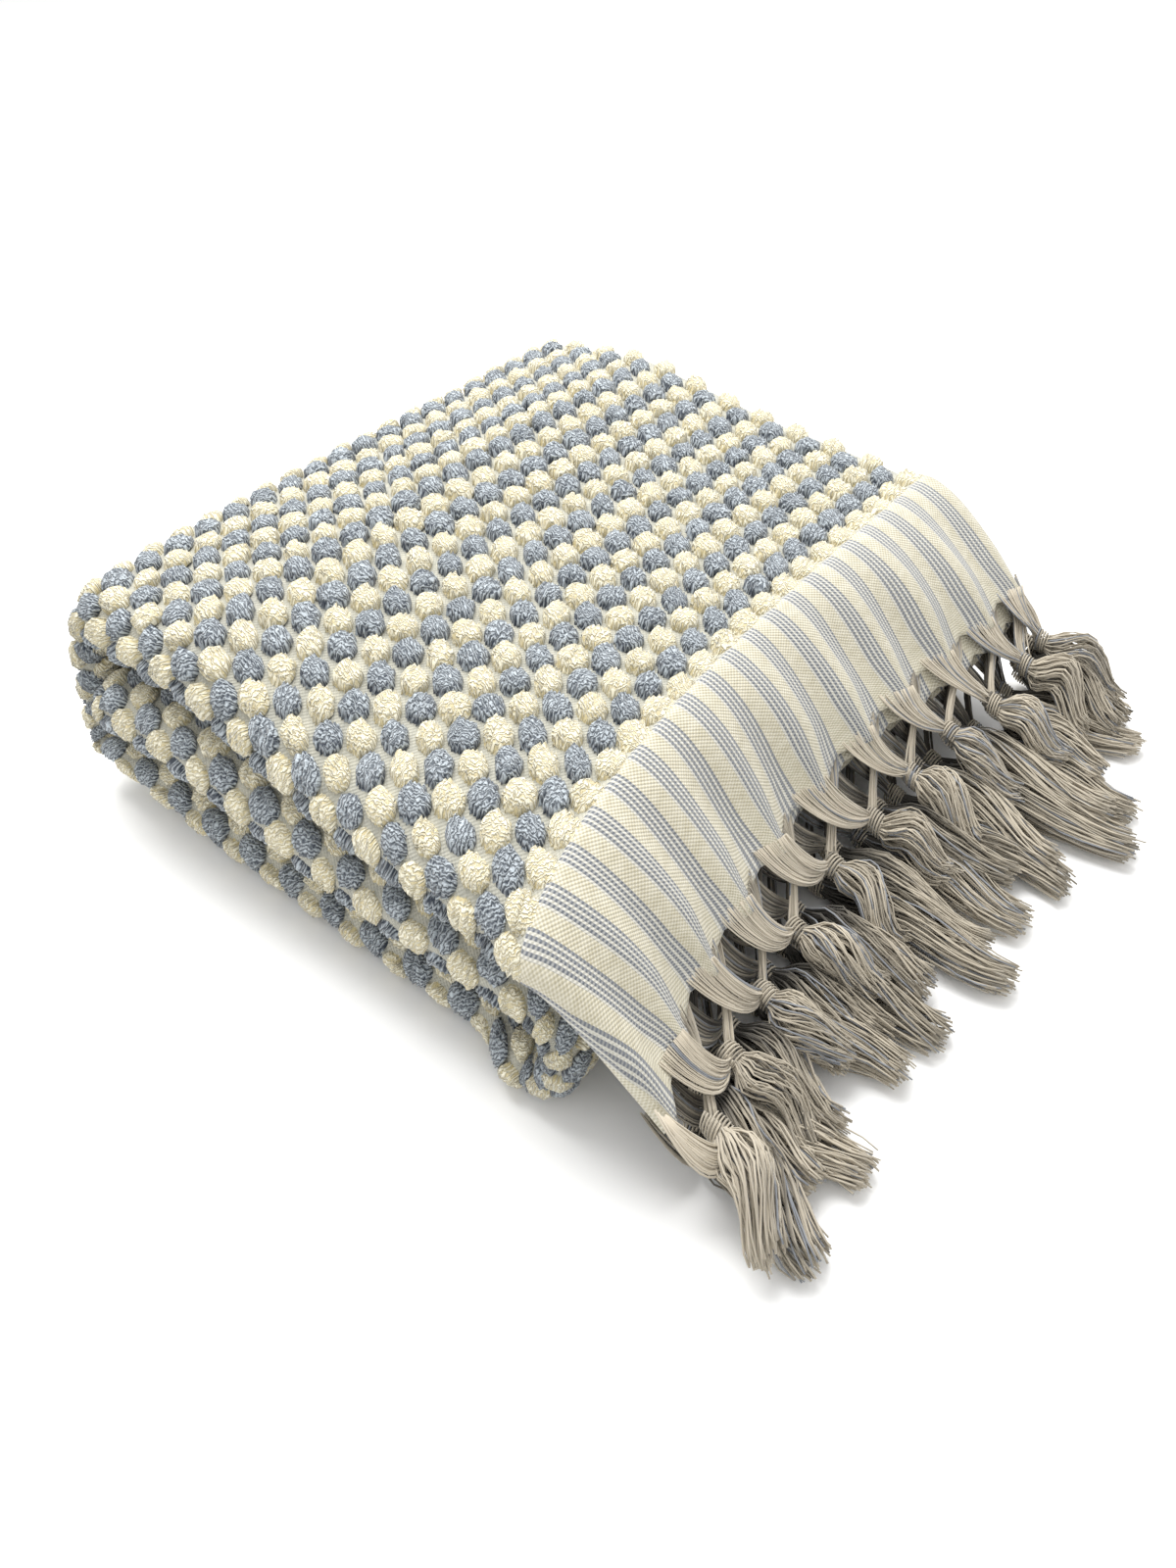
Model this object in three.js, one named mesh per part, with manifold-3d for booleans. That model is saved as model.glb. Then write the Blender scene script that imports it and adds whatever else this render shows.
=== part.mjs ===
// A folded hand-loomed bath towel with bobble pile, flat-woven end borders and knotted fringes.
// It is folded in three across its width, so that each pass holds three layers, and then rolled up
// flat along its length: the top pass runs from the visible end to the left, wraps down the left
// side, comes back along the floor, turns up at the right and runs left again as the middle pass,
// whose end is tucked in under it.
// Frame: millimetres, +Z up, floor at Z = 0. X is the warp, with the visible fringe at +X.
// Y is the weft: the round fold of each pass is at low Y and the outer selvedge at high Y.

import * as THREE from "three";
import { mergeVertices } from "three/addons/utils/BufferGeometryUtils.js";
import Module from "manifold-3d";

// Driving dimensions
const PITCH = 15; // bobble spacing along the weft
const WIDTH = 20.2 * PITCH; // folded width, a third of the towel's own
const LEFT_X = -13.7 * PITCH; // where the top pass starts to wrap down at the left
const LEFT_REACH = 0.4 * PITCH; // horizontal radius of the wrap's inner side, at its middle
const RIGHT_X = 0.4 * PITCH; // axis of the right fold
const EDGE_X = 3.5 * PITCH; // cloth edge of the visible end, counted from the end row of bobbles
const TUCK_X = -12.5 * PITCH; // axis of the fold that tucks the hidden end in
const HIDDEN_EDGE_X = -5.2 * PITCH;
const END_ROW_X = 34; // the end row's place from the middle of the outline
const FRONT_Y = -155; // the front fold's line from the middle of the outline

// How the stack has settled: crown height and how much lower the front shoulder is, at four places
const SETTLE = [
  { x: -14 * PITCH, crown: 6.1 * PITCH, drop: 0.55 * PITCH },
  { x: -10 * PITCH, crown: 6.65 * PITCH, drop: 0.8 * PITCH },
  { x: -5 * PITCH, crown: 6.05 * PITCH, drop: 1.75 * PITCH },
  { x: 0, crown: 5.85 * PITCH, drop: 1.6 * PITCH },
];
const SHOULDER = 2.5 * PITCH; // distance over which the front shoulder rises to the crown
const LEVEL = { bottom: 0.29, tucked: 0.42, middle: 0.68 }; // tops of the passes, shares of the height
const HEEL = PITCH; // how far the left end of the bottom pass is lifted off the floor
const HEEL_X = -9.5 * PITCH;

// Three layers of each pass, as shares of its half thickness from its middle, and the folds
const LAYER = { outer: 0.75, tucked: 0.03, inner: -0.69, half: 0.25 };
const ROLL_REACH = 0.95; // the round fold's own bulge, in half thicknesses
const TUCK_REACH = 0.5; // the same for the fold at the back

// The visible end's drape from the top of the stack to the floor
const DRAPE_START = 0.2 * PITCH;
const DRAPE_END = 5.8 * PITCH;
// The drape's extra run-out at both corners, as a share of its length
const RUN_OUT = { front: 0.25, frontLength: 2 * PITCH, back: 0.3, from: 9 * PITCH, to: 19 * PITCH };
const BORDER_PASS = 12; // thickness of the three flat-woven layers together
const BORDER_START = -0.2 * PITCH;
const BORDER_FULL = 0.9 * PITCH;

// The hand-folded unevenness
const SKEW = 0.05; // the top pass drifts back by this share of the way to the left
const BOW = 1.45 * PITCH; // how far the front of the end row runs on towards the fringe
const BOW_LENGTH = 4.6 * PITCH; // the other rows' run-on fades out towards the left wrap
const FRONT = { top: 0.1, middle: -0.1, tucked: 0.8, bottom: 0.1, bottomRight: -0.5, end: 0 }; // in pitches

// Fringe
const STRIP = { gap: 0.4, length: 4, root: 3.2 }; // the strip that holds the strands, off the cloth's edge
const KNOT_PITCH = 2 * PITCH;
const KNOT_RADIUS = 5.6;
const LEGS = [-1.5 * PITCH, 0.1 * PITCH]; // the two hanks of a knot, from in front and straight on
const LEAST_LEG = 0.3 * PITCH;
const FLOOR_REACH = 1.5 * PITCH; // from the knots to where the tassels meet the floor
const FRINGE_LAYERS = [
  { share: LAYER.outer, first: 0.5, locks: 3, knotX: 1.5 * PITCH, lower: 0, endX: 9 * PITCH },
  { share: LAYER.tucked, first: 1.5, locks: 2, knotX: 1.3 * PITCH, lower: 6, endX: 8.4 * PITCH },
  { share: LAYER.inner, first: 1, locks: 1, knotX: 0.8 * PITCH, lower: 12, endX: 7.4 * PITCH },
];
const LONGEST = { y: 14.5 * PITCH, extra: 1.1 * PITCH, spread: 2 * PITCH }; // tassels near the back
const HIDDEN_FRINGE = 4.6 * PITCH;

const clamp01 = (v) => Math.min(1, Math.max(0, v));
const smooth = (v) => clamp01(v) ** 2 * (3 - 2 * clamp01(v));
const mix = (a, b, k) => a + (b - a) * k;
const point2 = (x, z) => new THREE.Vector2(x, z);

// Height of the settled stack over the point x, y of the end row's frame
function stackHeight(x, y) {
  const at = Math.min(0, Math.max(SETTLE[0].x, x));
  const next = Math.max(1, SETTLE.findIndex((row) => row.x >= at));
  const [a, b] = [SETTLE[next - 1], SETTLE[next]];
  const k = (at - a.x) / (b.x - a.x);
  return mix(a.crown, b.crown, k) - mix(a.drop, b.drop, k) * Math.exp(-Math.max(0, y) / SHOULDER);
}

const bow = (x, y) => BOW * Math.exp(-Math.max(0, y) / BOW_LENGTH) * clamp01(1 - x / LEFT_X);
const heel = (x) => HEEL * smooth((HEEL_X - x) / (HEEL_X - LEFT_X));

// Point of the draped top surface right of the end row
function drapedPoint(x, y) {
  const back = smooth((y - RUN_OUT.from) / (RUN_OUT.to - RUN_OUT.from));
  const front = Math.exp(-Math.max(0, y) / RUN_OUT.frontLength);
  const down = smooth((x - DRAPE_START) / (DRAPE_END - DRAPE_START));
  const reach = x > 0 ? 1 + RUN_OUT.front * front + RUN_OUT.back * back : 1;
  return point2(x * reach, mix(stackHeight(0, y), BORDER_PASS, down));
}

const levelsAt = (x, y) => Object.values(LEVEL).map((share) => share * stackHeight(x, y));

// Each of these gives, for a place along the path, a function of y that returns two points in the
// XZ plane: the outer and the inner side of the pass there.
function topPass(x) {
  return (y) => {
    const high = stackHeight(x, y);
    if (x <= BORDER_START) return { outer: point2(x, high), inner: point2(x, LEVEL.middle * high) };
    const thin = smooth((x - BORDER_START) / (BORDER_FULL - BORDER_START));
    const thickness = mix((1 - LEVEL.middle) * high, BORDER_PASS, thin);
    const outer = drapedPoint(x, y);
    const along = drapedPoint(x + 0.5, y).sub(drapedPoint(x - 0.5, y)).normalize();
    return { outer, inner: outer.clone().add(point2(along.y, -along.x).multiplyScalar(thickness)) };
  };
}

// A bend at x that starts at the top or base and goes round: side is 1 for a bend to the right
const around = (x, across, up, top, base) => point2(x + across, (top + base) / 2 + (up * (top - base)) / 2);

function leftWrap(turn) {
  return (y) => {
    const high = stackHeight(LEFT_X, y);
    const [low, bottom, middle] = [heel(LEFT_X), LEVEL.bottom * high, LEVEL.middle * high];
    const square = turn > Math.PI / 2 ? 0.85 : 0.7;
    const left = Math.abs(Math.sin(turn)) ** square;
    const up = Math.sign(Math.cos(turn)) * Math.abs(Math.cos(turn)) ** square;
    const half = (high - middle + bottom - low) / 4;
    const waist = 1 - 0.1 * Math.exp(-(((up + 0.1) / 0.3) ** 2));
    return {
      outer: around(LEFT_X, -(LEFT_REACH + half) * waist * left, up, high, low),
      inner: around(LEFT_X, -(LEFT_REACH - half) * waist * left, up, middle, bottom),
    };
  };
}

function bottomPass(x) {
  return (y) => ({ outer: point2(x, heel(x)), inner: point2(x, LEVEL.bottom * stackHeight(x, y)) });
}

function rightFold(turn) {
  return (y) => {
    const [bottom, tucked, middle] = levelsAt(RIGHT_X, y);
    const [across, up] = [Math.sin(turn), -Math.cos(turn)];
    return {
      outer: around(RIGHT_X, (middle / 2) * across, up, middle, 0),
      inner: around(RIGHT_X, ((tucked - bottom) / 2) * across, up, tucked, bottom),
    };
  };
}

function middlePass(x) {
  return (y) => {
    const [, tucked, middle] = levelsAt(x, y);
    return { outer: point2(x, middle), inner: point2(x, tucked) };
  };
}

function tuckFold(turn) {
  return (y) => {
    const [bottom, tucked, middle] = levelsAt(TUCK_X, y);
    const up = Math.cos(turn);
    const rise = up > 0 ? middle - tucked : tucked - bottom;
    const outer = point2(TUCK_X - ((middle - bottom) / 2) * Math.sin(turn), tucked + rise * up);
    return { outer, inner: point2(TUCK_X, tucked) };
  };
}

function tuckedPass(x) {
  return (y) => {
    const [bottom, tucked] = levelsAt(x, y);
    return { outer: point2(x, bottom), inner: point2(x, tucked) };
  };
}

const spread = (count, from, to) => Array.from({ length: count }, (_, i) => mix(from, to, i / (count - 1)));

// Stations of the path, from the visible cloth edge to the hidden one
function stations() {
  const list = [];
  const add = (place, front) => list.push({ place, front: front * PITCH });
  const drift = (x) => FRONT.top - (SKEW * x) / PITCH;
  for (const x of spread(9, EDGE_X, 0.4 * PITCH)) add(topPass(x), FRONT.end);
  for (const x of spread(3, 0, -0.8 * PITCH)) add(topPass(x), mix(FRONT.end, drift(x), -x / (0.8 * PITCH)));
  for (const x of spread(8, -2 * PITCH, LEFT_X)) add(topPass(x), drift(x));
  for (const k of spread(11, 0, 1).slice(1))
    add(leftWrap(Math.PI * k), mix(drift(LEFT_X), FRONT.bottom, smooth(k)));
  for (const x of spread(6, LEFT_X + PITCH, -PITCH)) add(bottomPass(x), FRONT.bottom);
  for (const k of spread(8, 0, 1)) add(rightFold(Math.PI * k), mix(FRONT.bottomRight, FRONT.middle, k));
  for (const x of spread(6, -0.8 * PITCH, TUCK_X + PITCH)) add(middlePass(x), FRONT.middle);
  for (const k of spread(7, 0, 1)) add(tuckFold(Math.PI * k), mix(FRONT.middle, FRONT.tucked, smooth(k)));
  for (const x of spread(4, TUCK_X + PITCH, HIDDEN_EDGE_X)) add(tuckedPass(x), FRONT.tucked);
  return list;
}

// The line that one towel layer follows through a pass: over the outer third from its selvedge to
// the round fold, back through the inner third, and forward again between them. Depth is the
// distance behind the foremost line, level the share of the half thickness, and the last two give
// the side that faces out.
const DEPTHS = [1, 0.82, 0.64, 0.46, 0.32, 0.2, 0.1, 0];
function layerLine(half) {
  const roll = (ROLL_REACH + LAYER.half) * half;
  const tuck = (TUCK_REACH + LAYER.half) * half;
  const back = WIDTH - roll - tuck;
  const flat = (depth, level, up) => ({ depth, level, aside: 0, up });
  const turn = (count, from, to, depth, reach) =>
    spread(count + 2, 0, Math.PI)
      .slice(1, -1)
      .map((angle) => ({
        depth: depth + reach * half * Math.sin(angle),
        level: mix(from, to, 0.5 - 0.5 * Math.cos(angle)),
        aside: Math.sign(reach) * Math.sin(angle),
        up: Math.sign(from - to) * Math.cos(angle),
      }));
  return [
    ...DEPTHS.map((share) => flat(roll + share * (WIDTH - roll), LAYER.outer, 1)),
    ...turn(4, LAYER.outer, LAYER.inner, roll, -ROLL_REACH),
    ...DEPTHS.toReversed().map((share) => flat(roll + share * back, LAYER.inner, -1)),
    ...turn(2, LAYER.inner, LAYER.tucked, roll + back, TUCK_REACH),
    ...DEPTHS.map((share) => flat(roll + share * back, LAYER.tucked, 1)),
  ];
}

const thicknessAt = ({ place, front }) => {
  const { outer, inner } = place(front + PITCH);
  return outer.distanceTo(inner);
};

// A point of a station: depth and level as above, and how far past the station it lies
function pointAt(station, depth, level, ahead = 0) {
  const y = station.front + depth;
  const { outer, inner } = station.place(y);
  const at = inner.clone().lerp(outer, (level + 1) / 2);
  const across = outer.clone().sub(inner).normalize();
  const x = END_ROW_X + at.x + bow(at.x, y) + ahead * across.y;
  return new THREE.Vector3(x, FRONT_Y + y, Math.max(0, at.y - ahead * across.x));
}

function sectionAt(station, ahead = 0) {
  const half = thicknessAt(station) / 2;
  const line = layerLine(half);
  const side = (sign) =>
    line.map(({ depth, level, aside, up }) =>
      pointAt(station, depth + sign * LAYER.half * half * aside, level + sign * LAYER.half * up, ahead),
    );
  return [...side(-1), ...side(1).toReversed()];
}

// A closed solid through rings of equal length, whose caps join each point of a ring's first half
// to its partner in the second half
function sweepRings(rings) {
  const count = rings[0].length;
  const index = [];
  const quad = (a, b, c, d) => index.push(a, b, c, a, c, d);
  for (let r = 0; r + 1 < rings.length; r++)
    for (let i = 0; i < count; i++) {
      const j = (i + 1) % count;
      quad(r * count + i, r * count + j, (r + 1) * count + j, (r + 1) * count + i);
    }
  const last = (rings.length - 1) * count;
  for (let i = 0; i + 1 < count / 2; i++) {
    const partner = count - 1 - i;
    quad(i, partner, partner - 1, i + 1);
    quad(last + i + 1, last + partner - 1, last + partner, last + i);
  }
  const geometry = new THREE.BufferGeometry().setFromPoints(rings.flat());
  geometry.setIndex(index);
  return geometry;
}

// A lock of yarn with a rectangular section: each row is a point with half width and half height
function lockOf(rows) {
  const points = rows.map((row) => new THREE.Vector3(row.x, row.y, row.z));
  const rings = rows.map((row, i) => {
    const from = points[Math.max(0, i - 1)];
    const to = points[Math.min(points.length - 1, i + 1)];
    const along = to.clone().sub(from).normalize();
    const across = new THREE.Vector3(-along.y, along.x, 0).normalize();
    const up = along.clone().cross(across).normalize();
    return [[1, 1], [-1, 1], [-1, -1], [1, -1]].map(([a, b]) => {
      const corner = points[i].clone();
      corner.addScaledVector(across, a * row.wide).addScaledVector(up, b * row.high);
      corner.z = Math.max(0, corner.z);
      return corner;
    });
  });
  return sweepRings(rings);
}

const wasm = await Module();
wasm.setup();

function solidOf(geometry) {
  const plain = new THREE.BufferGeometry();
  plain.setAttribute("position", geometry.getAttribute("position").clone());
  plain.setIndex(geometry.getIndex());
  const merged = mergeVertices(plain, 1e-3);
  return new wasm.Manifold(
    new wasm.Mesh({
      numProp: 3,
      vertProperties: merged.attributes.position.array,
      triVerts: new Uint32Array(merged.index.array),
    }),
  );
}

function joined(geometries) {
  const mesh = wasm.Manifold.union(geometries.map(solidOf)).getMesh();
  const geometry = new THREE.BufferGeometry();
  geometry.setAttribute("position", new THREE.BufferAttribute(new Float32Array(mesh.vertProperties), 3));
  geometry.setIndex(new THREE.BufferAttribute(new Uint32Array(mesh.triVerts), 1));
  return geometry;
}

// The strip that holds an end's strands: the end section carried on past the cloth's edge
function stripAt(station, direction) {
  const rings = [STRIP.gap, STRIP.gap + STRIP.length].map((ahead) => sectionAt(station, direction * ahead));
  return sweepRings(direction > 0 ? rings.toReversed() : rings);
}

// A flat hank from the strip, which leaves it straight and bends sideways into its knot
function legTo(root, knot) {
  const rows = [
    { k: 0, wide: 3.4, high: 1.1 },
    { k: 0.5, wide: 2.8, high: 1.4 },
    { k: 1, wide: 2.2, high: 1.6 },
  ];
  return lockOf(
    rows.map(({ k, wide, high }) => ({
      x: mix(root.x, knot.x, 1 - (1 - k) ** 2),
      y: mix(root.y, knot.y, k * k),
      z: Math.max(high, mix(root.z, knot.z, k)),
      wide,
      high,
    })),
  );
}

// One lock of a tassel, from inside its knot down to the floor and along it to a blunt end
function lockFrom(knot, side, endX, lean) {
  const rows = [
    { k: 0, gap: 2.4, high: 1.8 },
    { k: 0.25, gap: 5.4, high: 2.2 },
    { k: 0.6, gap: 6, high: 2.6 },
    { k: 1, gap: 6.2, high: 2 },
  ];
  const meetsFloor = FLOOR_REACH / (endX - knot.x);
  return lockOf(
    rows.map(({ k, gap, high }) => ({
      x: mix(knot.x, endX - 3 * Math.abs(side), k),
      y: knot.y + side * gap + lean * k,
      z: mix(knot.z, high, smooth(k / meetsFloor)),
      wide: 0.44 * gap,
      high,
    })),
  );
}

function visibleFringe(station) {
  const parts = [stripAt(station, 1)];

  for (const { share, first, locks, knotX, lower, endX } of FRINGE_LAYERS)
    for (let i = 0; (first + 2 * i + 0.5) * PITCH < WIDTH; i++) {
      const depth = first * PITCH + i * KNOT_PITCH;
      const root = pointAt(station, depth, share, STRIP.root);
      const past = pointAt(station, depth, share, STRIP.root + knotX);
      const knotZ = Math.max(KNOT_RADIUS, past.z - lower);
      const knot = new THREE.Vector3(past.x + 2.5 * Math.sin(2.1 * i), root.y, knotZ);
      for (const aside of LEGS) {
        const at = Math.max(LEAST_LEG, depth + aside);
        parts.push(legTo(pointAt(station, at, share, STRIP.root), knot));
      }
      parts.push(new THREE.OctahedronGeometry(KNOT_RADIUS).translate(knot.x, knot.y, knot.z));
      const extra = LONGEST.extra * Math.exp(-(((depth - LONGEST.y) / LONGEST.spread) ** 2));
      const end = END_ROW_X + endX + extra + 5 * Math.sin(1.7 * i + 1);
      const lean = 2 * Math.sin(2.6 * i);
      for (let n = 0; n < locks; n++) parts.push(lockFrom(knot, n - (locks - 1) / 2, end, lean));
    }
  return joined(parts);
}

// The hidden fringe: one plain lock to a knot, under the middle pass
function hiddenFringe(station) {
  const parts = [stripAt(station, -1)];
  const rows = [
    { k: 0, wide: 6, high: 0.9 },
    { k: 0.35, wide: 3, high: 1 },
    { k: 0.45, wide: 3.4, high: 1.3 },
    { k: 0.75, wide: 5.6, high: 1.2 },
    { k: 1, wide: 5, high: 1 },
  ];
  for (const { share, first } of FRINGE_LAYERS)
    for (let i = 0; (first + 2 * i + 0.5) * PITCH < WIDTH - PITCH; i++) {
      const depth = (first + 0.8) * PITCH + i * KNOT_PITCH;
      const lock = rows.map(({ k, wide, high }) => {
        const place = tuckedPass(HIDDEN_EDGE_X + STRIP.root + k * HIDDEN_FRINGE);
        const { x, y, z } = pointAt({ ...station, place }, depth, share * (k > 0 ? 0.8 : 1));
        return { x, y, z, wide, high };
      });
      parts.push(lockOf(lock));
    }
  return joined(parts);
}

const CREAM = 0xe9e0c6;
const GREIGE = 0xc9c0ae;

function pieceOf(name, geometry, color) {
  const material = new THREE.MeshStandardMaterial({ color, roughness: 0.95, metalness: 0 });
  const mesh = new THREE.Mesh(geometry, material);
  mesh.name = name;
  return mesh;
}

const path = stations();
const towel = new THREE.Group();
towel.add(pieceOf("towel_cloth", sweepRings(path.map((station) => sectionAt(station))), CREAM));
towel.add(pieceOf("fringe_outer", visibleFringe(path[0]), GREIGE));
towel.add(pieceOf("fringe_inner", hiddenFringe(path[path.length - 1]), GREIGE));

export default towel;
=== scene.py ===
"""A folded bath towel of bobble pile, with striped flat-woven borders and knotted fringes.

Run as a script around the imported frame. Lengths are in millimetres until a mesh is made, in which
they become metres. X runs along the warp towards the visible fringe, Y along the weft from the
round folds to the selvedge, and Z is up from the surface that the towel lies on.
"""

import bpy
import numpy as np
from mathutils import Matrix, Vector


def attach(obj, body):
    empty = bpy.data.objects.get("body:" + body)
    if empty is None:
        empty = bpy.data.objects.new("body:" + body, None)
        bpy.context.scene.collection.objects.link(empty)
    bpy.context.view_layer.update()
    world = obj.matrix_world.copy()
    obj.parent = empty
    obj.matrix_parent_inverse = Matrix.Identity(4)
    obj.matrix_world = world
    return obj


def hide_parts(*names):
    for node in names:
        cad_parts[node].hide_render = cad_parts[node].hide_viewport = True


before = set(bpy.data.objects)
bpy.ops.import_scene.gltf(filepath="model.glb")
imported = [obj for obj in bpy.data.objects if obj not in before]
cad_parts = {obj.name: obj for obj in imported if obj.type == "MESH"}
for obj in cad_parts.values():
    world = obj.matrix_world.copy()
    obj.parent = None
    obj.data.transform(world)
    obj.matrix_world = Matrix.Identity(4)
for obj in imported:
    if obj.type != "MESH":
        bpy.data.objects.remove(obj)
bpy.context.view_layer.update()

bl_info = {
    "name": "Folded bobble towel",
    "version": (1, 0, 0),
    "blender": (4, 5, 0),
    "location": "View3D > Sidebar > Towel",
    "description": "Dresses a folded towel's solids with ground weave, bobbles, borders and fringes",
    "category": "Object",
}

MM = 0.001
PITCH = 15.0  # bobble spacing along the weft
ROW = 10.0  # row spacing along the warp
WIDTH = 20.2 * PITCH  # folded width
LEFT_X = -13.7 * PITCH
LEFT_REACH = 0.4 * PITCH
RIGHT_X = 0.4 * PITCH
EDGE_X = 3.5 * PITCH
TUCK_X = -12.5 * PITCH
HIDDEN_EDGE_X = -5.2 * PITCH
HIDDEN_BORDER = 38.0  # length of the border at the hidden end
END_ROW_X = 34.0  # place of the last bobble row before the border that shows
FRONT_Y = -155.0  # place of the lattice's foremost line

# The settled stack, from left to right: place, crown height and how much lower the front is
SETTLE_X = np.array([-14, -10, -5, 0]) * PITCH
SETTLE_CROWN = np.array([6.1, 6.65, 6.05, 5.85]) * PITCH
SETTLE_DROP = np.array([0.55, 0.8, 1.75, 1.6]) * PITCH
SHOULDER = 2.5 * PITCH
BOTTOM, TUCKED, MIDDLE = 0.29, 0.42, 0.68  # tops of the passes, shares of the stack's height
HEEL, HEEL_X = PITCH, -9.5 * PITCH

# A pass's three layers, as shares of its half thickness, and the folds that join them
LAYER_OUTER, LAYER_TUCKED, LAYER_INNER, LAYER_HALF = 0.75, 0.03, -0.69, 0.25
ROLL_REACH, TUCK_REACH = 0.95, 0.5

DRAPE_START, DRAPE_END = 0.2 * PITCH, 5.8 * PITCH
RUN_OUT_FRONT, RUN_OUT_LENGTH, RUN_OUT_BACK = 0.25, 2 * PITCH, 0.3
RUN_OUT_FROM, RUN_OUT_TO = 9 * PITCH, 19 * PITCH
BORDER_PASS, BORDER_START, BORDER_FULL = 12.0, -0.2 * PITCH, 0.9 * PITCH
SKEW, BOW, BOW_LENGTH = 0.05, 1.45 * PITCH, 4.6 * PITCH
FRONT = {"top": 0.1, "middle": -0.1, "tucked": 0.8, "bottom": 0.1, "bottom_right": -0.5, "end": 0.0}

# Columns of the lattice: the foremost line, the outer selvedge and the tucked one, how many fold
# to one width, the lattice's step and the column along which the rows are counted
FOREMOST, SELVEDGE, TUCKED_SELVEDGE = -0.16, 20.4, -41.0
FOLDED_COLUMNS, COLUMN_STEP, COUNTED_COLUMN = 20.5, 0.125, 10.0

# Points of a layer line along one of its flat parts, round the front fold and round the back one
FLAT_POINTS, FOLD_POINTS, BACK_POINTS = 90, 17, 9

STRIP_ROOT = 3.2  # from the cloth's edge to where its warp ends hang free
KNOT_RADIUS = 5.6
FLOOR_REACH = 1.5 * PITCH  # run in which a tassel falls from its knot to its bed
# Layers of the visible fringe: share of the pass, shift of its knots, number of knots, the knots'
# reach and lowering, the tassels' ends, how high they lie, their share of the usual width, how
# many yarns each has, their share of the greatest length and what the tassel at the back corner
# has more. The upper tassels are the shortest and lie on the others.
FRINGE_LAYERS = [
    {"share": LAYER_OUTER, "shift": 0.0, "knots": 11, "knot_x": 1.4, "lower": 0.0, "end": 6.6, "lie": 13.0,
     "wide": 1.0, "yarns": 104, "extra": 0.35, "corner": 14},
    {"share": LAYER_TUCKED, "shift": 0.9, "knots": 11, "knot_x": 1.1, "lower": 9.0, "end": 8.1, "lie": 5.0,
     "wide": 1.15, "yarns": 90, "extra": 1.0, "corner": -6},
    {"share": LAYER_INNER, "shift": 0.3, "knots": 11, "knot_x": 1.4, "lower": 16.0, "end": 8.9, "lie": 0.0,
     "wide": 1.3, "yarns": 90, "extra": 1.0, "corner": -6},
]
LONGEST_Y, LONGEST_EXTRA, LONGEST_SPREAD = 14.5 * PITCH, 1.1 * PITCH, 2 * PITCH
SHORTEST = 2.2 * PITCH  # least run of a tassel past its knot
HIDDEN_FRINGE, HIDDEN_BUNCHES, HIDDEN_YARNS = 4.6 * PITCH, 9, 8


def linear(code):
    """Linear RGBA of an sRGB hex colour: the standard curve, channel by channel."""
    srgb = [int(code[i : i + 2], 16) / 255 for i in (1, 3, 5)]
    return [c / 12.92 if c <= 0.04045 else ((c + 0.055) / 1.055) ** 2.4 for c in srgb] + [1.0]


def smooth(value):
    """Smooth step: three v squared less two v cubed, with v held between 0 and 1."""
    held = np.clip(value, 0, 1)
    return held**2 * (3 - 2 * held)


def mix(a, b, k):
    """A straight blend from a at k = 0 to b at k = 1."""
    return a + (b - a) * k


def stack_height(x, y):
    """Crown height at x, less a shoulder that fades exponentially behind the front line."""
    crown = np.interp(x, SETTLE_X, SETTLE_CROWN)
    drop = np.interp(x, SETTLE_X, SETTLE_DROP)
    return crown - drop * np.exp(-np.maximum(y, 0) / SHOULDER)


def bow(x, y):
    """How far a row runs on towards the fringe: it fades exponentially behind the front line, and
    straight from the end row to the left wrap."""
    return BOW * np.exp(-np.maximum(y, 0) / BOW_LENGTH) * np.clip(1 - x / LEFT_X, 0, 1)


def heel(x):
    """Lift of the bottom pass off the floor: a smooth step up to HEEL at the left."""
    return HEEL * smooth((HEEL_X - x) / (HEEL_X - LEFT_X))


def draped_point(x, y):
    """The drape's x and z: x stretched at both corners, z a smooth step from the stack's height
    down to the border's thickness."""
    back = smooth((y - RUN_OUT_FROM) / (RUN_OUT_TO - RUN_OUT_FROM))
    front = np.exp(-np.maximum(y, 0) / RUN_OUT_LENGTH)
    reach = np.where(x > 0, 1 + RUN_OUT_FRONT * front + RUN_OUT_BACK * back, 1.0)
    down = smooth((x - DRAPE_START) / (DRAPE_END - DRAPE_START))
    return np.stack([x * reach, mix(stack_height(0, y), BORDER_PASS, down)], -1)


def top_pass(x, y):
    """Outer and inner side of the top pass: level left of the end row, and right of it the drape
    with the pass's thickness laid off square to it."""
    high = stack_height(x, y)
    thin = smooth((x - BORDER_START) / (BORDER_FULL - BORDER_START))
    thickness = mix((1 - MIDDLE) * high, BORDER_PASS, thin)
    draped = (x > BORDER_START)[..., None]
    outer = np.where(draped, draped_point(x, y), np.stack([x + 0 * high, high], -1))
    along = draped_point(x + 0.5, y) - draped_point(x - 0.5, y)
    along /= np.linalg.norm(along, axis=-1, keepdims=True)
    square = np.stack([along[..., 1], -along[..., 0]], -1) * thickness[..., None]
    level = np.stack([0 * high, -thickness], -1)
    return outer, outer + np.where(draped, square, level)


def around(x, across, up, top, base):
    """A point of a bend at x: across it by a length, and up by a share between base and top."""
    return np.stack([x + across, (top + base) / 2 + up * (top - base) / 2], -1)


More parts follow.
